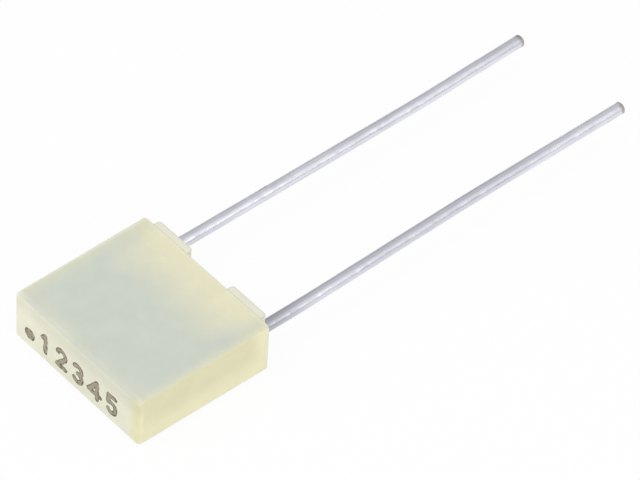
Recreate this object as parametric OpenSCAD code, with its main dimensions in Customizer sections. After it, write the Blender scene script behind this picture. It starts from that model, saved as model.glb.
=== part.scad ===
// Box film capacitor, radial, 5 mm pitch, lying on one broad face.
//
// A flattened winding of metallised film, with a sprayed metal contact on each end,
// stands in a moulded box that is open at the lead side and cast full of resin.
// A tinned wire is welded to each contact and leaves through the resin.
//
// Millimetres. Origin: midway between the leads, on the plane of the feet.
// +Y runs out along the leads, +X across the pitch, +Z through the thickness.

/* [Case] */
// Seated height, from the tips of the feet to the closed end
case_h = 6.5; // [5.5:0.1:9.0]
// Thickness of the box
case_t = 2.4; // [2.3:0.1:4.5]
// Thickness of the four side walls
wall = 0.5; // [0.35:0.05:0.55]
// Resin between a lead and the narrow wall, with the box in the middle; it sets the width
lead_cover = 0.27; // [0.24:0.01:1.2]
// Thickness of the closed end
end_wall = 0.6; // [0.4:0.05:0.8]
// Mould draft on the two narrow sides, in degrees
draft = 0.3; // [0.2:0.1:1.0]
// Radius of the two corners at the closed end
corner_r = 0.14; // [0.1:0.02:0.24]
// Radius of the edges round both broad faces
edge_r = 0.24; // [0.14:0.02:0.3]
// Radius of the edge at the open rim
rim_r = 0.1; // [0.04:0.01:0.12]
// Radius of the corners inside the box
cavity_r = 0.2; // [0.1:0.05:0.3]
// How far the box sits to the left of the middle of the leads
box_shift = 0.1; // [0:0.02:0.16]

/* [Feet] */
// Height of the stand-off feet above the rim
foot_h = 0.34; // [0.2:0.01:0.5]
// Length of each foot along its wall
foot_w = 1.9; // [1.2:0.1:2.2]
// Distance of each foot from the narrow side
foot_inset = 0.55; // [0.3:0.05:0.8]
// How far a foot stands back from the broad face
foot_set = 0.08; // [0.04:0.01:0.12]
// Radius of a foot's two end corners
foot_r = 0.2; // [0.06:0.01:0.24]
// Radius of a foot's outer edge
foot_edge_r = 0.08; // [0.04:0.01:0.12]

/* [Leads] */
// Diameter of the tinned wire
lead_d = 0.5; // [0.4:0.05:0.6]
// Distance between the lead axes at the feet
lead_pitch = 5.16; // [4.9:0.02:5.2]
// Length of the left lead beyond the feet
left_l = 17.75; // [17:0.05:25]
// Length of the right lead beyond the feet
right_l = 18.3; // [16:0.05:25]
// Straight run of the left lead beyond the feet
left_run = 11.8; // [3:0.1:12.4]
// Straight run of the right lead beyond the feet
right_run = 1.3; // [1:0.1:4]
// Radius of the faint bends left from handling
bend_r = 60; // [30:5:80]
// Bevel left by the cutter round each tip
tip_bevel = 0.05; // [0.02:0.01:0.1]
// Extra radius of the wire along a bend
bend_swell = 0.002; // [0.001:0.001:0.004]
// Inward lean of the welded run, in degrees
toe = 0.7; // [0.6:0.1:1.2]
// Length of the curve that straightens a lead as it leaves the box
toe_run = 0.8; // [0.7:0.05:0.95]

/* [Winding] */
// Resin left over each flat side of the winding
side_cover = 0.12; // [0.08:0.01:0.2]
// Resin left under the winding
floor_cover = 0.15; // [0.1:0.05:0.4]
// Resin left over the winding
top_cover = 0.35; // [0.25:0.05:0.6]
// Thickness of the sprayed metal on each end of the winding
spray_t = 0.3; // [0.2:0.05:0.5]
// How far the spray stays inside the outline of the winding
spray_inset = 0.04; // [0.02:0.01:0.08]
// Depth that the wire's inner end sinks into the sprayed metal
weld_depth = 0.1; // [0.06:0.01:0.16]
// Distance of the wire's inner end from the foot of the winding
weld_foot = 0.45; // [0.3:0.05:0.8]

/* [Resin] */
// Depth of the resin below the rim, along the walls
fill_recess = 0.25; // [0.15:0.05:0.5]
// Sag of the resin between the two broad walls
fill_sag = 0.08; // [0.04:0.01:0.14]
// Height that the resin climbs up each lead
climb_h = 0.16; // [0.08:0.02:0.22]
// Width of the climbing resin round each lead, at its foot
climb_w = 0.18; // [0.1:0.02:0.24]
// Rim of resin left at the top of the climb
climb_lip = 0.03; // [0.02:0.01:0.05]
// Bond line between the cast, wound, sprayed and welded pieces
bond_gap = 0.01; // [0.005:0.005:0.02]

/* [Hidden] */
$fn = 64;
eps = 0.05;                                   // overshoot of a cutter past what it cuts
seat = 0.02;                                  // reach of a straight run into the next bend
end_fn = 48;                                  // facets round the corners at the closed end
rim_fn = 32;                                  // facets round the corners at the open rim
pool_fn = 180;                                // facets round the curve of the sagging resin

case_w = lead_pitch + lead_d + 2 * (lead_cover + wall);   // width at the open rim
rim_y = -foot_h;                              // plane of the open rim
base_y = -case_h;                             // closed end
cavity_t = case_t - 2 * wall;
floor_y = base_y + end_wall;                  // floor of the cavity
fill_y = rim_y - fill_recess;                 // resin level along the walls
pool_y = fill_y - fill_sag;                   // resin level at mid-thickness
pool_r = (pow(cavity_t / 2, 2) + pow(fill_sag, 2)) / (2 * fill_sag);

lead_r = lead_d / 2;
film_y0 = floor_y + floor_cover;              // foot of the winding
film_y1 = pool_y - top_cover;                 // top of the winding
film_t = cavity_t - 2 * side_cover;
weld_y = film_y0 + weld_foot;                 // inner end of each wire
toe_r = toe_run / sin(toe);                   // radius of the curve at the exit
weld_l = (-toe_run - weld_y) / cos(toe);      // straight welded run
weld_x = lead_pitch / 2 - toe_r * (1 - cos(toe)) - weld_l * sin(toe);
spray_x = weld_x - lead_r + weld_depth;       // outer face of the sprayed metal
film_x = spray_x - spray_t - bond_gap;        // end face of the winding

// Bends beyond the straight run: [turn, run, turn back], degrees and mm, + turns to -X
left_bends = [1.7, 1.6, -0.5];
right_bends = [1.15, 7.4, -1.15];

// ---- profiles ----

// Half-width of the drafted outline at height y, brought in by inset
function side_x(y, inset) = case_w / 2 - inset / cos(draft) + (y - rim_y) * tan(draft);

// Plan of the box, or of what fills it: drafted sides, and round corners at the closed end
module plan(inset, y0, y1, r) {
    cy = y0 + r;
    cx = side_x(cy, inset + r);
    tx = cx + r * cos(draft);
    ty = cy - r * sin(draft);
    polygon([[side_x(y1, inset), y1], [tx, ty], [cx, cy], [cx, y0],
             [-cx, y0], [-cx, cy], [-tx, ty], [-side_x(y1, inset), y1]]);
    for (s = [-1, 1]) translate([s * cx, cy]) circle(r);
}

// Flattened roll, seen along its winding axis: x is its height, y its thickness
module roll_section(y0, y1, t) {
    translate([y0 + t / 2, -t / 2]) square([y1 - y0 - t, t]);
    for (y = [y0 + t / 2, y1 - t / 2]) translate([y, 0]) circle(t / 2);
}

// Bar along Z that rounds a square edge lying on the Z axis, with the material at -X -Y
module edge_cutter(r, l) {
    linear_extrude(l, center = true) difference() {
        translate([-r, -r]) square(r + eps);
        translate([-r, -r]) circle(r);
    }
}

// A body with the section given in (y, z), drawn along X from x0 to x1
module along_x(x0, x1) {
    translate([x0, 0, 0]) rotate([90, 0, 90]) linear_extrude(x1 - x0) children();
}

// ---- moulded box ----

// Disc about the Z axis, R in radius, with an edge of round section r, in n facets
module soft_disc(R, r, n) {
    rotate_extrude($fn = n) intersection() {
        translate([R - r, 0]) circle(r, $fn = n);
        translate([0, -r]) square([R, 2 * r]);
    }
}

// Outside of the box. Each corner at the closed end is a nest of posts, every one taller and
// further in than the last, so that the edge turns onto the broad faces. At the rim there are
// soft discs that face the opening.
module box_body() {
    z = case_t / 2 - edge_r;
    rim_disc_y = rim_y - rim_r;
    hull() for (sx = [-1, 1]) {
        for (a = [0 : 360 / rim_fn : 90]) {
            y = base_y + corner_r + edge_r * (1 - cos(a));
            translate([sx * (side_x(y, edge_r) + edge_r * cos(a) - corner_r), y, 0])
                cylinder(r = corner_r, h = 2 * (z + edge_r * sin(a)), center = true, $fn = end_fn);
        }
        for (sz = [-1, 1]) translate([sx * side_x(rim_disc_y, edge_r), rim_disc_y, sz * z])
            rotate([90, 0, 0]) soft_disc(edge_r, rim_r, rim_fn);
    }
}

// One foot, on the +X end of the +Z wall
module foot() {
    x1 = case_w / 2 - foot_inset;
    x0 = x1 - foot_w;
    z0 = case_t / 2 - wall;
    z1 = case_t / 2 - foot_set;
    difference() {
        translate([0, 0, z0]) linear_extrude(z1 - z0) {
            translate([x0, rim_y - eps]) square([foot_w, foot_h + eps - foot_r]);
            translate([x0 + foot_r, -foot_r]) square([foot_w - 2 * foot_r, foot_r]);
            for (x = [x0 + foot_r, x1 - foot_r]) translate([x, -foot_r]) circle(foot_r);
        }
        translate([(x0 + x1) / 2, 0, z1]) rotate([90, 0, 90]) edge_cutter(foot_edge_r, foot_w + 2 * eps);
    }
}

module case() {
    color([0.90, 0.89, 0.78]) translate([-box_shift, 0, 0]) {
        difference() {
            box_body();
            linear_extrude(cavity_t, center = true) plan(wall, floor_y, rim_y + eps, cavity_r);
        }
        for (sx = [0, 1], sz = [0, 1]) mirror([sx, 0, 0]) mirror([0, 0, sz]) foot();
    }
}

// ---- winding and its contacts ----

module film_element() {
    color([0.62, 0.64, 0.62]) along_x(-film_x, film_x) roll_section(film_y0, film_y1, film_t);
}

// Sprayed metal on the +X end, with the groove that the wire is welded into
module end_contact() {
    color([0.60, 0.60, 0.60]) difference() {
        along_x(spray_x - spray_t, spray_x)
            roll_section(film_y0 + spray_inset, film_y1 - spray_inset, film_t - 2 * spray_inset);
        inner_wire(lead_r + bond_gap, bond_gap);
    }
}

module end_contact_left() { mirror([1, 0, 0]) end_contact(); }
module end_contact_right() { end_contact(); }

// ---- leads ----

// Turns by a degrees on radius r, drawing wire of radius wr, and goes on with the children
module bend(wr, a, r) {
    side = a < 0 ? 1 : -1;
    translate([side * r, 0, 0]) {
        mirror([side > 0 ? 1 : 0, 0, 0]) rotate_extrude(angle = abs(a))
            translate([r, 0]) circle(wr + bend_swell);
        rotate([0, 0, a]) translate([-side * r, 0, 0]) children();
    }
}

// Straight wire along +Y, going on with the children from its far end. Its ends reach a
// little way into the bends, or into the bevelled tip.
module run(wr, l) {
    translate([0, -seat, 0]) rotate([-90, 0, 0]) cylinder(r = wr, h = l + 2 * seat);
    translate([0, l, 0]) children();
}

// Last straight run, ending in the bevel left by the cutter
module tip_run(wr, l) {
    rotate([-90, 0, 0]) rotate_extrude()
        polygon([[0, -seat], [wr, -seat], [wr, l - tip_bevel], [wr - tip_bevel, l], [0, l]]);
}

// Welded run of the right wire and the curve that brings it upright at the feet
module inner_wire(wr, extra) {
    translate([weld_x, weld_y, 0]) rotate([0, 0, -toe])
        translate([0, seat - extra, 0]) run(wr, weld_l - seat + extra) bend(wr, toe, toe_r);
}

// Wire beyond the feet, from the origin: straight, two faint bends, and a bevelled tip
module outer_wire(l, straight, bends) {
    arc_l = (abs(bends[0]) + abs(bends[2])) * PI / 180 * bend_r;
    run(lead_r, straight) bend(lead_r, bends[0], bend_r) run(lead_r, bends[1])
        bend(lead_r, bends[2], bend_r) tip_run(lead_r, l - straight - bends[1] - arc_l);
}

module lead_left() {
    color([0.76, 0.76, 0.80]) {
        mirror([1, 0, 0]) inner_wire(lead_r, 0);
        translate([-lead_pitch / 2, 0, 0]) outer_wire(left_l, left_run, left_bends);
    }
}

module lead_right() {
    color([0.76, 0.76, 0.80]) {
        inner_wire(lead_r, 0);
        translate([lead_pitch / 2, 0, 0]) outer_wire(right_l, right_run, right_bends);
    }
}

// ---- resin ----

module resin_fill() {
    color([0.86, 0.82, 0.66]) difference() {
        union() {
            difference() {
                translate([-box_shift, 0, 0])
                    linear_extrude(cavity_t - 2 * bond_gap, center = true)
                    plan(wall + bond_gap, floor_y + bond_gap, fill_y, cavity_r);
                along_x(-case_w, case_w) translate([pool_y + pool_r, 0]) circle(pool_r, $fn = pool_fn);
            }
            for (s = [-1, 1]) translate([s * lead_pitch / 2, pool_y - eps, 0])
                rotate([-90, 0, 0])
                    cylinder(r1 = lead_r + climb_w, r2 = lead_r + climb_lip, h = climb_h + eps);
        }
        along_x(-film_x - bond_gap, film_x + bond_gap)
            roll_section(film_y0 - bond_gap, film_y1 + bond_gap, film_t + 2 * bond_gap);
        for (s = [0, 1]) mirror([s, 0, 0]) {
            along_x(spray_x - spray_t - bond_gap, spray_x + bond_gap)
                roll_section(film_y0 + spray_inset - bond_gap, film_y1 - spray_inset + bond_gap,
                             film_t - 2 * spray_inset + 2 * bond_gap);
            inner_wire(lead_r + bond_gap, bond_gap);
        }
    }
}

case();
resin_fill();
film_element();
end_contact_left();
end_contact_right();
lead_left();
lead_right();
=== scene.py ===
"""Looks of a box film capacitor: a moulded box cast full of resin, with two tinned leads.

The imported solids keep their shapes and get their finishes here. The pad print on the
closed end is built here, because it is only a film of ink. Everything is in metres, in
the frame of the part: +Y along the leads, +X across the pitch, +Z through the thickness.
"""

import logging
import math
from dataclasses import dataclass, replace
from enum import Enum
from typing import Sequence

import bpy
from mathutils import Matrix, Vector


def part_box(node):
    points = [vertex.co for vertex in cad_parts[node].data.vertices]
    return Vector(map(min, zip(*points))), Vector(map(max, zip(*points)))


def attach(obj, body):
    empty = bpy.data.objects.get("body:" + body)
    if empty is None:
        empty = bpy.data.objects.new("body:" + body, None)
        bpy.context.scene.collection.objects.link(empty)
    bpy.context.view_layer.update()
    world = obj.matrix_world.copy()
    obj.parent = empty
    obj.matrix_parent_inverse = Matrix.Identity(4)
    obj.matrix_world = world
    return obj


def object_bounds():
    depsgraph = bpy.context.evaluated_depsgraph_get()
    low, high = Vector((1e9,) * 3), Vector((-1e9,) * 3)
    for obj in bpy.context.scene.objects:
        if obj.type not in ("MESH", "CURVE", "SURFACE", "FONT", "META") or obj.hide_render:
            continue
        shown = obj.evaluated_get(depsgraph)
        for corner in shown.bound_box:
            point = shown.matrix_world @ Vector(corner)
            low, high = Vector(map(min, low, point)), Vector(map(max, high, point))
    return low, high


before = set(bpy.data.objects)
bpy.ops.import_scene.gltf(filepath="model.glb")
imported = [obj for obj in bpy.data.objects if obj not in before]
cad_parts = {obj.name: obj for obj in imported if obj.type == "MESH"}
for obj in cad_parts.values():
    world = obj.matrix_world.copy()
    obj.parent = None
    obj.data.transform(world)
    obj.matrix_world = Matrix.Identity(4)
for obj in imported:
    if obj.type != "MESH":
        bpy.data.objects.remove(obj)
CAD_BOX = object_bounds()

log = logging.getLogger("box_capacitor")

Socket = bpy.types.NodeSocket
Triple = tuple[float, float, float]
Colour = Triple
Point2 = tuple[float, float]
Heading = tuple[float, float]
Feeds = dict[str | int, object]

MM = 0.001
EVEN: Triple = (1.0, 1.0, 1.0)
NOISE_MIDDLE = 0.5
STROKE_EDGE = "stroke_edge"

# Sockets of a Mix node that works on colours
MIX_SHARE, MIX_UNDER, MIX_OVER, MIX_RESULT = 0, 6, 7, 2


# ---------------------------------------------------------------------------
# Node building
# ---------------------------------------------------------------------------


class Blend(Enum):
    """Ways in which one colour is laid over another."""

    OVER = "MIX"
    TIMES = "MULTIPLY"


class Curve(Enum):
    """Ways in which a value runs between two limits."""

    STRAIGHT = "LINEAR"
    SOFT = "SMOOTHERSTEP"


@dataclass(frozen=True)
class Ramp:
    """What a value turns into: low at start, high at end, and held beyond both."""

    start: float
    end: float
    low: float = 0.0
    high: float = 1.0
    curve: Curve = Curve.SOFT


@dataclass(frozen=True)
class Grain:
    """Soft noise, by its features per millimetre and how each axis is scaled for it."""

    per_mm: float
    detail: float = 2.0
    rough: float = 0.5
    stretch: Triple = EVEN


@dataclass(frozen=True)
class Scatter:
    """Scattered points, by their count per millimetre and how each axis is scaled."""

    per_mm: float
    stretch: Triple = EVEN


@dataclass(frozen=True)
class Face:
    """A face of the moulded box: a coordinate, its value there, and which way is inward."""

    along: Socket
    level: float
    inward: int


class Sheet:
    """One node tree, with short calls for the nodes that the finishes use."""

    def __init__(self, tree: bpy.types.NodeTree) -> None:
        """Empties the tree.

        Args:
            tree: The node tree to fill.
        """
        self.tree = tree
        tree.nodes.clear()

    def feed(self, socket: Socket, value: object) -> None:
        """Links an output to a socket, or sets the socket to a constant.

        Args:
            socket: The input socket.
            value: An output socket, a number, or a colour or vector.
        """
        if isinstance(value, Socket):
            self.tree.links.new(value, socket)
        elif isinstance(value, tuple) and socket.type == "RGBA":
            socket.default_value = (*value, 1.0)
        else:
            socket.default_value = value

    def feed_all(self, node: bpy.types.Node, feeds: Feeds) -> None:
        """Feeds several inputs of a node.

        Args:
            node: The node.
            feeds: What goes in, by the input's name or index.
        """
        for key, value in feeds.items():
            self.feed(node.inputs[key], value)

    def add(
        self, kind: str, feeds: Feeds | None = None, **settings: object
    ) -> bpy.types.Node:
        """Adds a node.

        Args:
            kind: The node's type name.
            feeds: What goes in, by the input's name or index.
            **settings: Properties to set on it before it is fed.

        Returns:
            The new node.
        """
        node = self.tree.nodes.new(kind)
        for name, value in settings.items():
            setattr(node, name, value)
        self.feed_all(node, feeds or {})
        return node

    def maths(self, operation: str, a: object, b: object = 0.0) -> Socket:
        """Returns the result of a Math node on a and b."""
        return self.add("ShaderNodeMath", {0: a, 1: b}, operation=operation).outputs[0]

    def product(self, *factors: object) -> Socket:
        """Multiplies numbers.

        Args:
            *factors: Two or more numbers.

        Returns:
            Their product.
        """
        total = factors[0]
        for factor in factors[1:]:
            total = self.maths("MULTIPLY", total, factor)
        return total

    def span(self, value: object, ramp: Ramp) -> Socket:
        """Maps a value by a ramp.

        Args:
            value: The number to map.
            ramp: Its limits, and what they give.

        Returns:
            The mapped number.
        """
        feeds = {
            "Value": value,
            "From Min": ramp.start,
            "From Max": ramp.end,
            "To Min": ramp.low,
            "To Max": ramp.high,
        }
        kind = "ShaderNodeMapRange"
        node = self.add(kind, feeds, interpolation_type=ramp.curve.value, clamp=True)
        return node.outputs["Result"]

    def inward(self, face: Face, ramp: Ramp) -> Socket:
        """Maps how far in from a face a place lies.

        Args:
            face: The face.
            ramp: Its limits in millimetres in from the face, and what they give.

        Returns:
            The mapped number.
        """
        start, end = (face.level + face.inward * deep for deep in (ramp.start, ramp.end))
        return self.span(face.along, replace(ramp, start=start, end=end))

    def mix(self, share: object, a: object, b: object, how: Blend = Blend.OVER) -> Socket:
        """Lays colour b over colour a by a share.

        Args:
            share: How much of b shows, from 0 to 1.
            a: The lower colour.
            b: The upper colour.
            how: How b is laid over a.

        Returns:
            The mixed colour.
        """
        feeds = {MIX_SHARE: share, MIX_UNDER: a, MIX_OVER: b}
        settings = {"data_type": "RGBA", "blend_type": how.value, "clamp_factor": True}
        return self.add("ShaderNodeMix", feeds, **settings).outputs[MIX_RESULT]

    def grey(self, level: Socket) -> Socket:
        """Returns a colour with one number in all three of its channels."""
        return self.add("ShaderNodeCombineColor", dict.fromkeys(range(3), level)).outputs[0]

    def vector(self, operation: str, place: Socket, by: Triple) -> Socket:
        """Returns the result of a Vector Math node on a place and three numbers."""
        return self.add("ShaderNodeVectorMath", {0: place, 1: by}, operation=operation).outputs[0]

    def place_mm(self) -> Socket:
        """Finds the place on the piece.

        Returns:
            The place in millimetres, in the frame of the part.
        """
        spot = self.add("ShaderNodeTexCoord").outputs["Object"]
        feeds = {0: spot, "Scale": 1.0 / MM}
        return self.add("ShaderNodeVectorMath", feeds, operation="SCALE").outputs[0]

    def axes(self, place: Socket) -> tuple[Socket, ...]:
        """Returns the three parts of a vector."""
        return tuple(self.add("ShaderNodeSeparateXYZ", {0: place}).outputs)

    def pattern(self, kind: str, place: Socket, stretch: Triple, feeds: Feeds) -> bpy.types.Node:
        """Adds a texture, drawn out along an axis where it is asked for.

        Args:
            kind: The texture node's type name.
            place: The place, in millimetres.
            stretch: The scale of each axis; one below 1 draws the pattern out.
            feeds: The texture's own inputs.

        Returns:
            The texture node.
        """
        if stretch != EVEN:
            place = self.vector("MULTIPLY", place, stretch)
        return self.add(kind, {"Vector": place, **feeds})

    def noise(self, place: Socket, grain: Grain) -> Socket:
        """Adds soft noise.

        Args:
            place: The place, in millimetres.
            grain: What the noise is like.

        Returns:
            A number from 0 to 1.
        """
        feeds = {"Scale": grain.per_mm, "Detail": grain.detail, "Roughness": grain.rough}
        return self.pattern("ShaderNodeTexNoise", place, grain.stretch, feeds).outputs["Fac"]

    def cells(self, place: Socket, points: Scatter) -> Socket:
        """Measures how near the closest of scattered points is.

        Args:
            place: The place, in millimetres.
            points: How the points lie.

        Returns:
            The distance, as a share of their spacing.
        """
        kind, feeds = "ShaderNodeTexVoronoi", {"Scale": points.per_mm}
        return self.pattern(kind, place, points.stretch, feeds).outputs["Distance"]

    def bump(self, height: Socket, depth_mm: float, normal: Socket | None = None) -> Socket:
        """Tilts the surface by a height pattern.

        Args:
            height: The pattern, from 0 to 1.
            depth_mm: How high 1 stands over 0.
            normal: A normal to start from, or None for the surface's own.

        Returns:
            The tilted normal.
        """
        feeds = {"Strength": 1.0, "Distance": depth_mm * MM, "Height": height}
        if normal is not None:
            feeds["Normal"] = normal
        return self.add("ShaderNodeBump", feeds).outputs["Normal"]

    def eased_normal(self, radius_mm: float, rays: int = 6) -> Socket:
        """Returns a normal that is rounded over each edge within a radius."""
        return self.add("ShaderNodeBevel", {"Radius": radius_mm * MM}, samples=rays).outputs[0]


def new_sheet(name: str) -> tuple[bpy.types.Material, Sheet, bpy.types.Node]:
    """Makes an empty material with one Principled shader.

    Args:
        name: The material's name.

    Returns:
        The material, its node sheet and the shader node.
    """
    material = bpy.data.materials.new(name)
    material.use_nodes = True
    sheet = Sheet(material.node_tree)
    shader = sheet.add("ShaderNodeBsdfPrincipled")
    sheet.add("ShaderNodeOutputMaterial", {"Surface": shader.outputs["BSDF"]})
    return material, sheet, shader


# ---------------------------------------------------------------------------
# Finishes
# ---------------------------------------------------------------------------


@dataclass(frozen=True)
class BoxFaces:
    """The faces of the moulded box that its colours run in from."""

    left: Face
    right: Face
    narrow: Face
    closed_end: Face
    rim: Face
    feet: Face
    bottom: Face
    top: Face
    broad: Face

    @staticmethod
    def of(
        sheet: Sheet, place: Socket, box: tuple[Vector, Vector], foot_height_mm: float
    ) -> "BoxFaces":
        """Measures the faces.

        Args:
            sheet: The node sheet to work on.
            place: The place, in millimetres.
            box: Lowest and highest corner of the box with its feet, in metres.
            foot_height_mm: How far the feet stand over the rim.

        Returns:
            The faces; narrow stands for both narrow sides, and broad for both broad ones.
        """
        x, y, z = sheet.axes(place)
        low, high = box[0] / MM, box[1] / MM
        middle, half = (low.x + high.x) / 2, (high.x - low.x) / 2
        across = sheet.maths("ABSOLUTE", sheet.maths("SUBTRACT", x, middle))
        return BoxFaces(
            left=Face(x, low.x, 1),
            right=Face(x, high.x, -1),
            narrow=Face(across, half, -1),
            closed_end=Face(y, low.y, 1),
            rim=Face(y, high.y - foot_height_mm, -1),
            feet=Face(y, high.y, -1),
            bottom=Face(z, low.z, 1),
            top=Face(z, high.z, -1),
            broad=Face(sheet.maths("ABSOLUTE", z), high.z, -1),
        )


@dataclass(frozen=True)
class CasePlastic:
    """Cream moulding compound, thin enough for the winding to darken the broad walls, with
    painted light and shade on its faces and edges.
    """

    cream: Colour = (0.79, 0.755, 0.52)
    strip: Colour = (0.735, 0.70, 0.455)
    # The closed end is paler and cooler and the narrow walls yellower than the broad face: partly
    # the wall itself, partly painted light, cool on the end and warm on the sides
    closed_end: Colour = (0.86, 0.85, 0.685)
    # Painted light: the closed end is paler towards its left
    painted_light_end_left: Colour = (0.93, 0.91, 0.72)
    end_corner: Colour = (0.85, 0.81, 0.51)
    # Painted shade near the top of the closed end
    painted_shade_end_top: Colour = (0.89, 0.90, 0.90)
    # Yellower narrow walls: partly the wall itself, partly painted warm light
    narrow_wall: Colour = (0.745, 0.705, 0.455)
    # Painted light on the narrow walls near their lowest edge and the rim
    painted_light_side_edges: Colour = (0.86, 0.82, 0.55)
    # Painted light from the floor on the lowest edges of the closed end and the narrow sides
    painted_floor_light_end: Colour = (0.97, 0.95, 0.78)
    painted_floor_light_side: Colour = (0.92, 0.88, 0.60)
    # Painted light along the upper left and back edges
    painted_light_upper_edges: Colour = (0.90, 0.89, 0.74)
    foot: Colour = (0.745, 0.74, 0.64)
    over_winding: Colour = (0.585, 0.62, 0.545)
    foot_height_mm: float = 0.34
    foot_from_mm: float = 0.25
    edge_ease_mm: float = 0.07
    ior: float = 1.5

    # The winding's shade, by millimetres in from each face; strip_reach gives millimetres
    strip_reach: Ramp = Ramp(1.5, 0.0, 0.0, 1.2)
    shade_from_left: Ramp = Ramp(-0.05, 0.9, 0.48, 1.0)
    shade_from_right: Ramp = Ramp(-0.05, 0.6, 0.7, 1.0)
    shade_from_end: Ramp = Ramp(-0.15, 0.95, 0.75, 1.0)
    shade_from_feet: Ramp = Ramp(-0.3, 3.8)
    shade_on_broad: Ramp = Ramp(0.17, 0.02)

    # Where one tone gives way to the next, by millimetres in from a face
    to_strip: Ramp = Ramp(0.9, 0.1)
    to_side: Ramp = Ramp(0.1, 0.01)
    to_end: Ramp = Ramp(0.27, 0.14)
    # Painted light on the closed end, in from its left
    end_to_left: Ramp = Ramp(3.4, 0.2)
    end_to_corner: Ramp = Ramp(0.78, 0.2)
    # Painted shade on the closed end, in from its top
    end_to_top: Ramp = Ramp(1.1, 0.2)
    # Painted light on the narrow walls, in from the lowest edge and the rim
    painted_light_side_low: Ramp = Ramp(1.7, 0.1)
    painted_light_side_rim: Ramp = Ramp(1.1, 0.1)
    # Painted floor light, in from the lowest edge
    painted_floor_light_low: Ramp = Ramp(0.4, 0.0, 0.0, 0.9)
    # Painted light along the upper left and back edges, in from the left side and the rim, near
    # the top
    painted_light_upper_left: Ramp = Ramp(0.33, 0.08, 0.0, 0.75)
    painted_light_upper_back: Ramp = Ramp(0.2, 0.02, 0.0, 0.4)
    painted_light_upper_top: Ramp = Ramp(0.5, 0.2)

    # Unevenness, each ramp by its own noise
    drift: Grain = Grain(0.55, 3.0)
    wander_mm: Ramp = Ramp(0.3, 0.7, -0.2, 0.2, Curve.STRAIGHT)
    cloud: Grain = Grain(1.3, 4.0, 0.55)
    cloud_tone: Ramp = Ramp(0.25, 0.75, 0.965, 1.03, Curve.STRAIGHT)
    dust: Grain = Grain(26.0)
    dust_tone: Ramp = Ramp(0.3, 0.7, 0.985, 1.012, Curve.STRAIGHT)
    gloss: Grain = Grain(3.0, 3.0)
    roughness: Ramp = Ramp(0.3, 0.7, 0.31, 0.43, Curve.STRAIGHT)
    sink: Grain = Grain(0.45, 1.0)
    sink_mm: float = 0.02
    skin: Grain = Grain(17.0, 3.0, 0.6)
    skin_mm: float = 0.0016

    def winding_shade(self, sheet: Sheet, place: Socket, faces: BoxFaces) -> Socket:
        """Works out how much the winding darkens the wall.

        Args:
            sheet: The node sheet to work on.
            place: The place, in millimetres.
            faces: The faces of the box.

        Returns:
            The share of the winding's tone, from 0 to 1.
        """
        wander = sheet.span(sheet.noise(place, self.drift), self.wander_mm)
        along = sheet.maths("ADD", faces.feet.along, wander)
        reach = sheet.inward(faces.narrow, self.strip_reach)
        held_back = sheet.maths("SUBTRACT", along, reach)
        return sheet.product(
            sheet.inward(faces.left, self.shade_from_left),
            sheet.inward(faces.right, self.shade_from_right),
            sheet.inward(replace(faces.closed_end, along=along), self.shade_from_end),
            sheet.inward(replace(faces.feet, along=held_back), self.shade_from_feet),
            sheet.inward(faces.broad, self.shade_on_broad),
        )

    def side_colour(self, sheet: Sheet, faces: BoxFaces, painted_floor_light: Socket) -> Socket:
        """Colours the narrow sides: painted light makes them paler near their lowest edge and the
        rim.

        Args:
            sheet: The node sheet to work on.
            faces: The faces of the box.
            painted_floor_light: Share of the painted floor light on the lowest edge.

        Returns:
            The colour.
        """
        # Painted light near the lowest edge and the rim
        low_edge = sheet.inward(faces.bottom, self.painted_light_side_low)
        rim_edge = sheet.inward(faces.rim, self.painted_light_side_rim)
        thin = sheet.maths("MAXIMUM", low_edge, rim_edge)
        side = sheet.mix(thin, self.narrow_wall, self.painted_light_side_edges)
        # Painted floor light at the lowest edge
        return sheet.mix(painted_floor_light, side, self.painted_floor_light_side)

    def end_colour(self, sheet: Sheet, faces: BoxFaces, painted_floor_light: Socket) -> Socket:
        """Colours the closed end: painted light makes it paler to the left and painted shade
        duller above; it is yellower at the right.

        Args:
            sheet: The node sheet to work on.
            faces: The faces of the box.
            painted_floor_light: Share of the painted floor light on the lowest edge.

        Returns:
            The colour.
        """
        # Painted light: paler towards the left
        leftward = sheet.inward(faces.left, self.end_to_left)
        end = sheet.mix(leftward, self.closed_end, self.painted_light_end_left)
        end = sheet.mix(sheet.inward(faces.right, self.end_to_corner), end, self.end_corner)
        # Painted shade: duller towards the top
        upward = sheet.inward(faces.top, self.end_to_top)
        end = sheet.mix(upward, end, self.painted_shade_end_top, Blend.TIMES)
        # Painted floor light at the lowest edge
        return sheet.mix(painted_floor_light, end, self.painted_floor_light_end)

    def painted_upper_light_share(self, sheet: Sheet, faces: BoxFaces) -> Socket:
        """Works out how far the painted light on the upper left and back edges reaches.

        Args:
            sheet: The node sheet to work on.
            faces: The faces of the box.

        Returns:
            The share of the painted light, from 0 to 1.
        """
        left_edge = sheet.inward(faces.left, self.painted_light_upper_left)
        back_edge = sheet.inward(faces.rim, self.painted_light_upper_back)
        edges = sheet.maths("MAXIMUM", left_edge, back_edge)
        return sheet.product(edges, sheet.inward(faces.top, self.painted_light_upper_top))

    def clouded(self, sheet: Sheet, place: Socket, colour: Socket) -> Socket:
        """Lays the uneven tone of the moulding over a colour.

        Args:
            sheet: The node sheet to work on.
            place: The place, in millimetres.
            colour: The colour.

        Returns:
            The uneven colour.
        """
        veil = sheet.span(sheet.noise(place, self.cloud), self.cloud_tone)
        dust = sheet.span(sheet.noise(place, self.dust), self.dust_tone)
        return sheet.mix(1.0, colour, sheet.grey(sheet.product(veil, dust)), Blend.TIMES)

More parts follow.
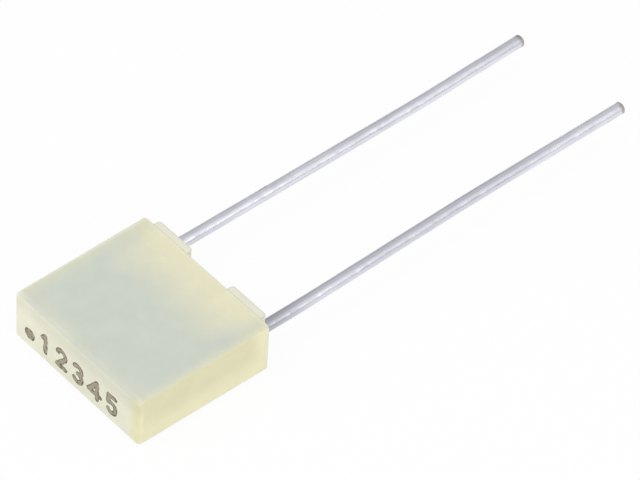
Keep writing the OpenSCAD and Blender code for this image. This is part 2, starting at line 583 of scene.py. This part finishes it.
    def surface(self, sheet: Sheet, place: Socket) -> Socket:
        """Shapes the skin: eased edges, shallow sinks and a fine grain.

        Args:
            sheet: The node sheet to work on.
            place: The place, in millimetres.

        Returns:
            The tilted normal.
        """
        eased = sheet.eased_normal(self.edge_ease_mm)
        sunk = sheet.bump(sheet.noise(place, self.sink), self.sink_mm, eased)
        return sheet.bump(sheet.noise(place, self.skin), self.skin_mm, sunk)

    def build(self, box: tuple[Vector, Vector]) -> bpy.types.Material:
        """Makes the material.

        Args:
            box: Lowest and highest corner of the moulded box, in metres.

        Returns:
            The material.
        """
        material, sheet, shader = new_sheet("case_plastic")
        place = sheet.place_mm()
        faces = BoxFaces.of(sheet, place, box, self.foot_height_mm)
        # Painted light from the floor, strongest at the lowest edge
        painted_floor_light = sheet.inward(faces.bottom, self.painted_floor_light_low)
        to_foot = Ramp(self.foot_from_mm, -self.foot_height_mm, curve=Curve.STRAIGHT)
        colour: object = self.cream
        for share, tone in (
            (sheet.inward(faces.narrow, self.to_strip), self.strip),
            (sheet.inward(faces.narrow, self.to_side), self.side_colour(sheet, faces, painted_floor_light)),
            (sheet.inward(faces.closed_end, self.to_end), self.end_colour(sheet, faces, painted_floor_light)),
            (self.winding_shade(sheet, place, faces), self.over_winding),
            # Painted light on the upper left and back edges
            (self.painted_upper_light_share(sheet, faces), self.painted_light_upper_edges),
            (sheet.inward(faces.rim, to_foot), self.foot),
        ):
            colour = sheet.mix(share, colour, tone)
        feeds = {
            "Base Color": self.clouded(sheet, place, colour),
            "Roughness": sheet.span(sheet.noise(place, self.gloss), self.roughness),
            "Normal": self.surface(sheet, place),
            "IOR": self.ior,
        }
        sheet.feed_all(shader, feeds)
        return material


@dataclass(frozen=True)
class CastingResin:
    """Cast resin, glossy and a little cloudy, with small bubbles near its surface."""

    body: Colour = (0.70, 0.63, 0.40)
    deep: Colour = (0.56, 0.50, 0.32)
    cloud: Grain = Grain(1.1, 4.0, 0.6)
    cloud_tone: Ramp = Ramp(0.35, 0.68)
    roughness: Ramp = Ramp(0.3, 0.7, 0.16, 0.26, Curve.STRAIGHT)
    bubbles: Scatter = Scatter(5.0)
    bubble_rim: Ramp = Ramp(0.05, 0.16)
    bubble_mm: float = 0.012
    wave: Grain = Grain(1.4)
    wave_mm: float = 0.05
    ior: float = 1.55

    def build(self) -> bpy.types.Material:
        """Makes the material.

        Returns:
            The material.
        """
        material, sheet, shader = new_sheet("casting_resin")
        place = sheet.place_mm()
        cloud = sheet.noise(place, self.cloud)
        colour = sheet.mix(sheet.span(cloud, self.cloud_tone), self.body, self.deep)
        clear = sheet.span(sheet.cells(place, self.bubbles), self.bubble_rim)
        wave = sheet.bump(sheet.noise(place, self.wave), self.wave_mm)
        feeds = {
            "Base Color": sheet.mix(clear, self.deep, colour),
            "Roughness": sheet.span(cloud, self.roughness),
            "Normal": sheet.bump(clear, self.bubble_mm, wave),
            "IOR": self.ior,
        }
        sheet.feed_all(shader, feeds)
        return material


@dataclass(frozen=True)
class FilmWinding:
    """Metallised film, pressed flat, with the faint lines of its turns."""

    silver: Colour = (0.60, 0.61, 0.60)
    edge: Colour = (0.42, 0.43, 0.44)
    turns: Grain = Grain(4.0, 3.0, stretch=(0.2, 1.0, 9.0))
    turn_tone: Ramp = Ramp(0.35, 0.65)
    roughness: Ramp = Ramp(0.3, 0.7, 0.22, 0.38)
    turn_mm: float = 0.01
    metallic: float = 0.75

    def build(self) -> bpy.types.Material:
        """Makes the material.

        Returns:
            The material.
        """
        material, sheet, shader = new_sheet("metallised_film")
        turns = sheet.noise(sheet.place_mm(), self.turns)
        feeds = {
            "Base Color": sheet.mix(sheet.span(turns, self.turn_tone), self.silver, self.edge),
            "Roughness": sheet.span(turns, self.roughness),
            "Normal": sheet.bump(turns, self.turn_mm),
            "Metallic": self.metallic,
        }
        sheet.feed_all(shader, feeds)
        return material


@dataclass(frozen=True)
class SprayedZinc:
    """Sprayed metal: a dull crust of frozen droplets."""

    light: Colour = (0.50, 0.50, 0.51)
    dark: Colour = (0.27, 0.27, 0.28)
    drops: Scatter = Scatter(11.0)
    crust: Ramp = Ramp(0.1, 0.8)
    roughness: Ramp = Ramp(0.0, 0.9, 0.5, 0.75)
    crust_mm: float = 0.03
    metallic: float = 0.85

    def build(self) -> bpy.types.Material:
        """Makes the material.

        Returns:
            The material.
        """
        material, sheet, shader = new_sheet("sprayed_zinc")
        drops = sheet.cells(sheet.place_mm(), self.drops)
        crust = sheet.span(drops, self.crust)
        feeds = {
            "Base Color": sheet.mix(crust, self.light, self.dark),
            "Roughness": sheet.span(drops, self.roughness),
            "Normal": sheet.bump(crust, self.crust_mm),
            "Metallic": self.metallic,
        }
        sheet.feed_all(shader, feeds)
        return material


@dataclass(frozen=True)
class TinnedWire:
    """Tinned wire with draw lines along it, handling marks, and a sheared tip."""

    # The lavender tint in the first three colours is a painted reflection of bluish surroundings;
    # their grey is the tin's own
    tin: Colour = (0.80, 0.80, 0.875)
    dull: Colour = (0.60, 0.60, 0.67)
    # Darker tin where the lead leaves the box
    darker_root_tone: Colour = (0.36, 0.36, 0.40)
    sheared: Colour = (0.36, 0.33, 0.31)
    metallic: float = 1.0

    # Draw lines, streaks and patches, each ramp by its own noise
    lines: Grain = Grain(13.0, 3.0, 0.6, (1.0, 0.035, 1.0))
    line_tone: Ramp = Ramp(0.42, 0.72, 0.0, 0.5)
    line_mm: float = 0.0008
    streaks: Grain = Grain(1.7, 1.0, stretch=(1.0, 0.06, 1.0))
    streak_tone: Ramp = Ramp(0.42, 0.6, 0.0, 0.6)
    patches: Grain = Grain(2.1, 3.0, stretch=(1.0, 0.35, 1.0))
    patch_tone: Ramp = Ramp(0.5, 0.78, 0.0, 0.55)
    roughness: Ramp = Ramp(0.3, 0.75, 0.24, 0.42, Curve.STRAIGHT)

    # Small nicks, and the shallow dents of handling
    nicks: Scatter = Scatter(1.15, (1.0, 0.42, 1.0))
    nick_rim: Ramp = Ramp(0.13, 0.05)
    nick_tone: float = 0.6
    nick_mm: float = 0.008
    dents: Grain = Grain(1.3, 1.5)
    dent_mm: float = 0.05

    # The darker root, by height along the leads
    root_from_mm: float = 4.2
    root_full_mm: float = 0.2

    # The sheared tip, by how far back from the cut
    tear_mm: Ramp = Ramp(0.3, 0.7, -0.06, 0.06)
    cut_from_mm: float = 0.24
    cut_full_mm: float = 0.06
    cut_tone: float = 0.8
    cut_roughness: float = 0.2

    # How much further the patterns shift along the leads than across them
    seed_along: float = 1.7

    def build(
        self, name: str, tip_mm: float, seed_mm: float, root_darkening: float
    ) -> bpy.types.Material:
        """Makes the material.

        Args:
            name: The material's name.
            tip_mm: Height of the cut tip along the leads.
            seed_mm: Shift of the patterns, so that two leads differ.
            root_darkening: How much darker the tin is where the lead leaves the box, from 0 to 1.

        Returns:
            The material.
        """
        material, sheet, shader = new_sheet(name)
        place = sheet.place_mm()
        moved = sheet.vector("ADD", place, (seed_mm, seed_mm * self.seed_along, 0.0))
        _, y, _ = sheet.axes(place)
        lines = sheet.noise(moved, self.lines)
        patches = sheet.noise(moved, self.patches)
        nick = sheet.span(sheet.cells(moved, self.nicks), self.nick_rim)

        fine = sheet.span(lines, self.line_tone)
        broad = sheet.span(sheet.noise(moved, self.streaks), self.streak_tone)
        root = Ramp(self.root_from_mm, self.root_full_mm, 0.0, root_darkening)
        tip = Ramp(tip_mm - self.cut_from_mm, tip_mm - self.cut_full_mm, 0.0, self.cut_tone)
        cut = sheet.span(sheet.maths("ADD", y, sheet.span(patches, self.tear_mm)), tip)
        colour: object = self.tin
        for share, tone in (
            (sheet.maths("MAXIMUM", fine, broad), self.dull),
            (sheet.span(patches, self.patch_tone), self.dull),
            (sheet.span(sheet.maths("ADD", y, patches), root), self.darker_root_tone),
            (sheet.product(nick, self.nick_tone), self.sheared),
            (cut, self.sheared),
        ):
            colour = sheet.mix(share, colour, tone)

        worn = sheet.span(patches, self.roughness)
        drawn = sheet.bump(lines, self.line_mm)
        dented = sheet.bump(sheet.noise(moved, self.dents), self.dent_mm, drawn)
        feeds = {
            "Base Color": colour,
            "Roughness": sheet.maths("ADD", worn, sheet.product(cut, self.cut_roughness)),
            "Normal": sheet.bump(nick, self.nick_mm, dented),
            "Metallic": self.metallic,
        }
        sheet.feed_all(shader, feeds)
        return material


@dataclass(frozen=True)
class PadInk:
    """Brown-black ink, thin in the middle of a stroke and squeezed out to its edge."""

    rich: Colour = (0.125, 0.104, 0.060)
    thin: Colour = (0.38, 0.335, 0.235)
    patches: Grain = Grain(5.5, 3.0, 0.6)
    patch_share: Ramp = Ramp(0.3, 0.7, -0.6, 0.35)
    wetness: Ramp = Ramp(0.2, 0.85)
    roughness: Ramp = Ramp(0.3, 0.7, 0.42, 0.62)
    patch_mm: float = 0.004

    def build(self) -> bpy.types.Material:
        """Makes the material.

        Returns:
            The material.
        """
        material, sheet, shader = new_sheet("pad_ink")
        edge = sheet.add("ShaderNodeAttribute", attribute_name=STROKE_EDGE).outputs["Fac"]
        patch = sheet.noise(sheet.place_mm(), self.patches)
        wet = sheet.maths("ADD", edge, sheet.span(patch, self.patch_share))
        feeds = {
            "Base Color": sheet.mix(sheet.span(wet, self.wetness), self.thin, self.rich),
            "Roughness": sheet.span(patch, self.roughness),
            "Normal": sheet.bump(patch, self.patch_mm),
        }
        sheet.feed_all(shader, feeds)
        return material


# ---------------------------------------------------------------------------
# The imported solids
# ---------------------------------------------------------------------------


def dress(node: str, material: bpy.types.Material) -> None:
    """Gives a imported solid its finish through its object's material slots.

    Args:
        node: The solid's name.
        material: The finish.
    """
    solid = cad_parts[node]
    if not solid.material_slots:
        solid.data.materials.append(material)
    for slot in solid.material_slots:
        slot.link = "OBJECT"
        slot.material = material


@dataclass
class MouldedCase:
    """The moulded box with its feet."""

    node: str = "case"
    finish: CasePlastic = CasePlastic()

    def make(self) -> None:
        """Dresses the box."""
        dress(self.node, self.finish.build(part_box(self.node)))
        log.info("%s: dressed in cream plastic", self.node)


@dataclass
class CastCore:
    """What the box holds: the winding, its two sprayed contacts and the cast resin."""

    resin: str = "resin_fill"
    winding: str = "film_element"
    contacts: tuple[str, ...] = ("end_contact_left", "end_contact_right")

    def make(self) -> None:
        """Dresses the resin, the winding and the contacts."""
        dress(self.resin, CastingResin().build())
        dress(self.winding, FilmWinding().build())
        zinc = SprayedZinc().build()
        for contact in self.contacts:
            dress(contact, zinc)
        log.info("cast core: dressed %d solids", 2 + len(self.contacts))


@dataclass
class Leads:
    """The two tinned leads."""

    nodes: tuple[str, ...] = ("lead_left", "lead_right")
    # How much darker each lead is near the box
    root_darkenings: tuple[float, ...] = (0.15, 0.68)
    seed_step_mm: float = 3.7
    finish: TinnedWire = TinnedWire()

    def make(self) -> None:
        """Dresses each lead, with its own pattern of handling marks."""
        for index, (node, darkening) in enumerate(zip(self.nodes, self.root_darkenings)):
            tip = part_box(node)[1].y / MM
            name = f"tinned_wire_{index + 1}"
            dress(node, self.finish.build(name, tip, self.seed_step_mm * index, darkening))
            log.info("%s: dressed in tin, tip at %.2f mm", node, tip)


# ---------------------------------------------------------------------------
# Pad print
# ---------------------------------------------------------------------------


class Stroke:
    """Turns pen moves into the points of a line, in a cell one unit high."""

    @staticmethod
    def line(*points: Point2) -> list[Point2]:
        """Returns a line through the given points."""
        return list(points)

    @staticmethod
    def arc(
        centre: Point2, size: Point2, start: float, end: float, steps: int = 14
    ) -> list[Point2]:
        """Draws part of an ellipse.

        Args:
            centre: Its middle.
            size: Its half-width and half-height.
            start: First angle in degrees, anticlockwise from the right.
            end: Last angle in degrees.
            steps: How many pieces it is drawn in.

        Returns:
            The points along it.
        """
        turns = [math.radians(start + (end - start) * i / steps) for i in range(steps + 1)]
        return [
            (centre[0] + size[0] * math.cos(t), centre[1] + size[1] * math.sin(t)) for t in turns
        ]


class Figure(Enum):
    """The marks of the print, by name."""

    DOT = "dot"
    ONE = "1"
    TWO = "2"
    THREE = "3"
    FOUR = "4"
    FIVE = "5"

    def strokes(self) -> list[list[Point2]]:
        """Draws the mark.

        Returns:
            Its pen strokes, centred across and from 0 to 1 in height.
        """
        line, arc = Stroke.line, Stroke.arc
        drawn = {
            Figure.DOT: [
                arc((0.0, 0.26), (0.21, 0.19), 0, 360),
                arc((0.0, 0.26), (0.09, 0.08), 0, 360),
            ],
            Figure.ONE: [line((-0.16, 0.80), (0.04, 1.0), (0.04, 0.0))],
            Figure.TWO: [
                arc((0.0, 0.73), (0.27, 0.27), 165, -35) + line((-0.27, 0.0), (0.29, 0.0))
            ],
            Figure.THREE: [
                arc((-0.02, 0.76), (0.25, 0.24), 150, -90),
                arc((-0.02, 0.26), (0.28, 0.26), 90, -150),
            ],
            Figure.FOUR: [line((0.16, 0.0), (0.16, 1.0), (-0.40, 0.26), (0.36, 0.26))],
            Figure.FIVE: [
                line((0.25, 1.0), (-0.19, 1.0), (-0.23, 0.56))
                + arc((0.0, 0.31), (0.29, 0.31), 120, -140)
            ],
        }
        return drawn[self]


@dataclass
class PadPrint:
    """A dot and a row of plain figures on the closed end, as one thin film of ink."""

    figures: Sequence[Figure] = tuple(Figure)
    dot_x_mm: float = -2.78
    first_x_mm: float = -1.91
    pitch_mm: float = 0.955
    base_z_mm: float = -0.60
    height_mm: float = 0.84
    half_stroke_mm: float = 0.117
    ragged_mm: float = 0.11
    ripples_per_mm: float = 4.2
    ripple_detail: float = 3.0
    ink_mm: float = 0.006
    sunk_mm: float = 0.004
    cell_mm: float = 0.012
    margin_mm: Point2 = (1.2, 0.5)
    border_rounds: int = 4
    weld_mm: float = 0.0001
    seed: int = 7
    seed_step: float = 3.1
    finish: PadInk = PadInk()
    name: str = "pad_print"

    def middle_x(self, index: int) -> float:
        """Finds where across the end a mark stands.

        Args:
            index: Its place in the row.

        Returns:
            Its middle, in millimetres.
        """
        if self.figures[index] is Figure.DOT:
            return self.dot_x_mm
        return self.first_x_mm + self.pitch_mm * (index - 1)

    def skeleton(self) -> bpy.types.Object:
        """Draws the pen strokes of every figure as loose edges, in the plane of the print.

        Returns:
            A mesh object that holds only edges.
        """
        points: list[Triple] = []
        edges: list[tuple[int, int]] = []
        for index, figure in enumerate(self.figures):
            middle = self.middle_x(index)
            for stroke in figure.strokes():
                first = len(points)
                for across, up in stroke:
                    px = middle + across * self.height_mm
                    pz = self.base_z_mm + up * self.height_mm
                    points.append((px * MM, pz * MM, 0.0))
                edges += [(i, i + 1) for i in range(first, len(points) - 1)]
        mesh = bpy.data.meshes.new(self.name)
        mesh.from_pydata(points, edges, [])
        piece = bpy.data.objects.new(self.name, mesh)
        bpy.context.scene.collection.objects.link(piece)
        return piece

    def settings(self, end_y: float) -> dict[str, object]:
        """Works out what goes into the tree.

        Args:
            end_y: Height of the closed end along the leads, in metres.

        Returns:
            The value of each of the tree's inputs, by its name.
        """
        first, last = self.middle_x(0), self.middle_x(len(self.figures) - 1)
        middle_z = self.base_z_mm + self.height_mm / 2
        return {
            "Width": (last - first + self.margin_mm[0]) * MM,
            "Height": (self.height_mm + self.margin_mm[1]) * MM,
            "Cell": self.cell_mm * MM,
            "Half stroke": self.half_stroke_mm * MM,
            "Ragged": self.ragged_mm * MM,
            "Film": (self.ink_mm + self.sunk_mm) * MM,
            "Centre": ((first + last) / 2 * MM, middle_z * MM, 0.0),
            "Outward turn": (math.pi / 2, 0.0, 0.0),
            "Seat": (0.0, end_y + self.sunk_mm * MM, 0.0),
            "Seed": self.seed,
        }

    @staticmethod
    def name_sockets(tree: bpy.types.NodeTree) -> None:
        """Gives the tree its named inputs and its output.

        Args:
            tree: The geometry node tree.
        """
        inputs = {
            "Geometry": ("Strokes",),
            "Float": ("Width", "Height", "Cell", "Half stroke", "Ragged", "Film"),
            "Vector": ("Centre", "Outward turn", "Seat"),
            "Int": ("Seed",),
        }
        for kind, labels in inputs.items():
            for label in labels:
                tree.interface.new_socket(label, in_out="INPUT", socket_type="NodeSocket" + kind)
        tree.interface.new_socket(
            "Film of ink", in_out="OUTPUT", socket_type="NodeSocketGeometry"
        )

    @staticmethod
    def lay_grid(sheet: Sheet, given: dict[str, Socket]) -> Socket:
        """Lays a fine grid over the place of the print.

        Args:
            sheet: The node sheet to work on.
            given: The tree's inputs, by name.

        Returns:
            The grid.
        """
        feeds: Feeds = {}
        for axis, side in (("X", "Width"), ("Y", "Height")):
            cells = sheet.maths("DIVIDE", given[side], given["Cell"])
            feeds[f"Size {axis}"] = given[side]
            feeds[f"Vertices {axis}"] = sheet.maths("CEIL", cells)
        grid = sheet.add("GeometryNodeMeshGrid", feeds).outputs["Mesh"]
        feeds = {"Geometry": grid, "Translation": given["Centre"]}
        return sheet.add("GeometryNodeTransform", feeds).outputs["Geometry"]

    def cut_to_strokes(self, sheet: Sheet, given: dict[str, Socket], grid: Socket) -> Socket:
        """Cuts the grid back to the cells that lie near a stroke, with an uneven border.

        Args:
            sheet: The node sheet to work on.
            given: The tree's inputs, by name.
            grid: The grid.

        Returns:
            What is left, with how near the edge of its stroke each point lies.
        """
        feeds: Feeds = {"Geometry": given["Strokes"]}
        near = sheet.add("GeometryNodeProximity", feeds, target_element="EDGES")
        feeds = {
            "W": sheet.product(given["Seed"], self.seed_step),
            "Scale": self.ripples_per_mm / MM,
            "Detail": self.ripple_detail,
        }
        ripple = sheet.add("ShaderNodeTexNoise", feeds, noise_dimensions="4D").outputs["Fac"]
        uneven = sheet.maths("SUBTRACT", ripple, NOISE_MIDDLE)
        uneven = sheet.product(uneven, given["Ragged"])
        reach = sheet.maths("ADD", given["Half stroke"], uneven)
        share = sheet.maths("DIVIDE", near.outputs["Distance"], reach)

        kind = "GeometryNodeStoreNamedAttribute"
        feeds = {"Geometry": grid, "Name": STROKE_EDGE, "Value": share}
        noted = sheet.add(kind, feeds, data_type="FLOAT", domain="POINT").outputs["Geometry"]
        kind, feeds = "FunctionNodeCompare", {"A": share, "B": 1.0}
        outside = sheet.add(kind, feeds, data_type="FLOAT", operation="GREATER_THAN")
        feeds = {"Geometry": noted, "Selection": outside.outputs["Result"]}
        return sheet.add("GeometryNodeDeleteGeometry", feeds, domain="FACE").outputs["Geometry"]

    def smooth_border(self, sheet: Sheet, flat: Socket) -> Socket:
        """Smooths the steps that the cells leave along a border.

        Args:
            sheet: The node sheet to work on.
            flat: The cells near the strokes.

        Returns:
            The smoothed cells.
        """
        spot = sheet.add("GeometryNodeInputPosition").outputs[0]
        feeds: Feeds = {"Iterations": self.border_rounds, "Value": spot}
        eased = sheet.add("GeometryNodeBlurAttribute", feeds, data_type="FLOAT_VECTOR")
        feeds = {"Geometry": flat, "Position": eased.outputs["Value"]}
        return sheet.add("GeometryNodeSetPosition", feeds).outputs["Geometry"]

    def thicken(self, sheet: Sheet, given: dict[str, Socket], flat: Socket) -> Socket:
        """Turns the flat cells into a thin closed film.

        Args:
            sheet: The node sheet to work on.
            given: The tree's inputs, by name.
            flat: The smoothed cells.

        Returns:
            The film.
        """
        feeds: Feeds = {"Individual": False, "Mesh": flat, "Offset Scale": given["Film"]}
        raised = sheet.add("GeometryNodeExtrudeMesh", feeds, mode="FACES")
        under = sheet.add("GeometryNodeFlipFaces", {"Mesh": flat})
        joined = sheet.add("GeometryNodeJoinGeometry")
        for half in (under, raised):
            sheet.feed(joined.inputs["Geometry"], half.outputs["Mesh"])
        feeds = {"Distance": self.weld_mm * MM, "Geometry": joined.outputs["Geometry"]}
        return sheet.add("GeometryNodeMergeByDistance", feeds).outputs["Geometry"]

    def tree(self, ink: bpy.types.Material) -> bpy.types.NodeTree:
        """Builds the tree that lays ink round the strokes.

        A fine grid is cut back to the cells that lie near a stroke, its border is
        smoothed, and what is left becomes a thin closed film.

        Args:
            ink: The ink's finish.

        Returns:
            The geometry node tree.
        """
        tree = bpy.data.node_groups.new("ink_round_strokes", "GeometryNodeTree")
        self.name_sockets(tree)
        sheet = Sheet(tree)
        given = {socket.name: socket for socket in sheet.add("NodeGroupInput").outputs}
        cut = self.cut_to_strokes(sheet, given, self.lay_grid(sheet, given))
        film = self.thicken(sheet, given, self.smooth_border(sheet, cut))
        for kind, feeds in (
            (
                "GeometryNodeTransform",
                {"Rotation": given["Outward turn"], "Translation": given["Seat"]},
            ),
            ("GeometryNodeRealizeInstances", {}),
            ("GeometryNodeSetMaterial", {"Material": ink}),
        ):
            film = sheet.add(kind, {"Geometry": film, **feeds}).outputs["Geometry"]
        sheet.add("NodeGroupOutput", {0: film})
        return tree

    def make(self, case: str) -> bpy.types.Object:
        """Prints the figures on the closed end.

        Args:
            case: Name of the moulded box.

        Returns:
            The finished film of ink.
        """
        settings = self.settings(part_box(case)[0].y)
        tree = self.tree(self.finish.build())
        drawn = self.skeleton()
        modifier = drawn.modifiers.new("ink", "NODES")
        modifier.node_group = tree
        for item in tree.interface.items_tree:
            if item.in_out == "INPUT" and item.name in settings:
                modifier[item.identifier] = settings[item.name]
        graph = bpy.context.evaluated_depsgraph_get()
        film = bpy.data.meshes.new_from_object(drawn.evaluated_get(graph))
        drawn.modifiers.clear()
        drawn.data = film
        drawn.name = self.name
        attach(drawn, "root")
        log.info("%s: %d faces of ink", self.name, len(film.polygons))
        return drawn


# ---------------------------------------------------------------------------
# Studio
# ---------------------------------------------------------------------------


def away_from_part(azimuth: float, elevation: float) -> Vector:
    """Works out the direction from the part to where a view looks from.

    Args:
        azimuth: Its turn in degrees, from 0 at the closed end to 90 at the right side.
        elevation: Its height in degrees.

    Returns:
        The direction, one unit long.
    """
    around, above = math.radians(azimuth), math.radians(elevation)
    level = math.cos(above)
    return Vector((math.sin(around) * level, -math.cos(around) * level, math.sin(above)))


@dataclass(frozen=True)
class SoftLamp:
    """A square soft lamp that faces the part, its heading given as the views count it."""

    name: str
    heading: Heading
    watts: float
    tint: Colour
    side: float = 0.07
    distance: float = 0.12

    def hang(self) -> None:
        """Hangs the lamp."""
        away = away_from_part(*self.heading)
        data = bpy.data.lights.new(self.name, "AREA")
        data.energy, data.size, data.color = self.watts, self.side, self.tint
        lamp = bpy.data.objects.new(self.name, data)
        lamp.location = away * self.distance
        lamp.rotation_mode = "QUATERNION"
        lamp.rotation_quaternion = away.to_track_quat("Z", "Y")
        bpy.context.scene.collection.objects.link(lamp)


@dataclass(frozen=True)
class FloorPaper:
    """Pale paper that shows white to the lens and keeps shadows, and is clear from below."""

    white: float = 0.86
    glow: float = 1.0
    glow_share: float = 0.93

    def build(self) -> bpy.types.Material:
        """Makes the material.

        Returns:
            The material.
        """
        material = bpy.data.materials.new("studio_floor")
        material.use_nodes = True
        sheet = Sheet(material.node_tree)
        paper = sheet.add("ShaderNodeBsdfDiffuse", {"Color": (self.white,) * 3})
        glow = sheet.add("ShaderNodeEmission", {"Strength": self.glow})
        ray = sheet.add("ShaderNodeLightPath").outputs
        seen = sheet.maths("MAXIMUM", ray["Is Camera Ray"], ray["Is Glossy Ray"])
        seen = sheet.maths("MAXIMUM", seen, ray["Is Transmission Ray"])
        share = sheet.product(seen, self.glow_share)
        below = sheet.add("ShaderNodeNewGeometry").outputs["Backfacing"]
        clear = sheet.add("ShaderNodeBsdfTransparent")
        shown = paper
        for part, layer in ((share, glow), (below, clear)):
            feeds = {0: part, 1: shown.outputs[0], 2: layer.outputs[0]}
            shown = sheet.add("ShaderNodeMixShader", feeds)
        sheet.add("ShaderNodeOutputMaterial", {"Surface": shown.outputs[0]})
        return material


@dataclass
class Studio:
    """Pale floor, soft light from all round but one darker side, and two soft lamps."""

    floor_half: float = 0.6
    floor_gap_mm: float = 0.002
    paper: FloorPaper = FloorPaper()
    sky: Ramp = Ramp(0.0, 0.6, 0.50, 1.0)
    dark_heading: Heading = (228.0, 35.0)
    dark_reach: tuple[float, float] = (38.0, 56.0)
    dark_level: float = 0.70
    lamps: tuple[SoftLamp, ...] = (
        SoftLamp("key_lamp", (330.0, 62.0), 0.022, (0.96, 0.98, 1.0)),
        SoftLamp("side_lamp", (100.0, 28.0), 0.021, (1.0, 0.99, 0.96)),
    )

    def floor(self, level: float) -> bpy.types.Object:
        """Lays the floor just under the part.

        Args:
            level: Height of the floor.

        Returns:
            The floor.
        """
        half = self.floor_half
        ways = ((-1, -1), (1, -1), (1, 1), (-1, 1))
        mesh = bpy.data.meshes.new("studio_floor")
        mesh.from_pydata([(half * x, half * y, level) for x, y in ways], [], [(0, 1, 2, 3)])
        ground = bpy.data.objects.new("studio_floor", mesh)
        bpy.context.scene.collection.objects.link(ground)
        mesh.materials.append(self.paper.build())
        return ground

    def world(self) -> None:
        """Lights the part from all round: bright above, dimmer grey at table height."""
        world = bpy.data.worlds.new("studio_world")
        bpy.context.scene.world = world
        world.use_nodes = True
        sheet = Sheet(world.node_tree)
        heading = sheet.add("ShaderNodeTexCoord").outputs["Generated"]
        _, _, up = sheet.axes(heading)
        feeds: Feeds = {0: heading, 1: away_from_part(*self.dark_heading)}
        toward = sheet.add("ShaderNodeVectorMath", feeds, operation="DOT_PRODUCT")
        near, far = (math.cos(math.radians(angle)) for angle in self.dark_reach)
        shaded = sheet.span(toward.outputs["Value"], Ramp(far, near, 1.0, self.dark_level))
        level = sheet.product(sheet.span(up, self.sky), shaded)
        ray = sheet.add("ShaderNodeLightPath").outputs
        seen = sheet.maths("MAXIMUM", ray["Is Camera Ray"], ray["Is Transmission Ray"])
        feeds = {"Color": EVEN, "Strength": sheet.maths("MAXIMUM", seen, level)}
        back = sheet.add("ShaderNodeBackground", feeds)
        sheet.add("ShaderNodeOutputWorld", {"Surface": back.outputs[0]})

    def make(self) -> None:
        """Sets the floor, the world and the lamps."""
        self.floor(CAD_BOX[0].z - self.floor_gap_mm * MM)
        self.world()
        for lamp in self.lamps:
            lamp.hang()
        log.info("studio: floor, world and %d lamps", len(self.lamps))


@dataclass
class Viewpoint:
    """The camera: a long lens above the closed end, to the right of it."""

    azimuth: float = 46.573
    elevation: float = 46.309
    roll: float = 3.527
    distance_mm: float = 209.907
    aim_mm: Triple = (0.522, 4.690, 0.0)
    lens: float = 317.04
    sensor_width: float = 36.0
    nearest: float = 0.01
    furthest: float = 10.0

    def make(self) -> bpy.types.Object:
        """Places the camera and makes it the scene's own.

        Returns:
            The camera.
        """
        away = away_from_part(self.azimuth, self.elevation)
        data = bpy.data.cameras.new("viewpoint")
        data.sensor_width = self.sensor_width
        data.lens = self.lens
        data.clip_start, data.clip_end = self.nearest, self.furthest
        camera = bpy.data.objects.new("viewpoint", data)
        level = away.to_track_quat("Z", "Y").to_matrix()
        turned = level @ Matrix.Rotation(math.radians(self.roll), 3, "Z")
        place = Vector(self.aim_mm) + away * self.distance_mm
        camera.matrix_world = Matrix.Translation(place * MM) @ turned.to_4x4()
        bpy.context.scene.collection.objects.link(camera)
        bpy.context.scene.camera = camera
        return camera


def main() -> None:
    """Builds the looks in order."""
    logging.basicConfig(level=logging.INFO, format="%(name)s %(message)s")
    scene = bpy.context.scene
    scene.view_settings.view_transform = "Standard"
    Viewpoint().make()
    Studio().make()
    MouldedCase().make()
    CastCore().make()
    Leads().make()
    PadPrint().make("case")


if __name__ == "__main__":
    main()
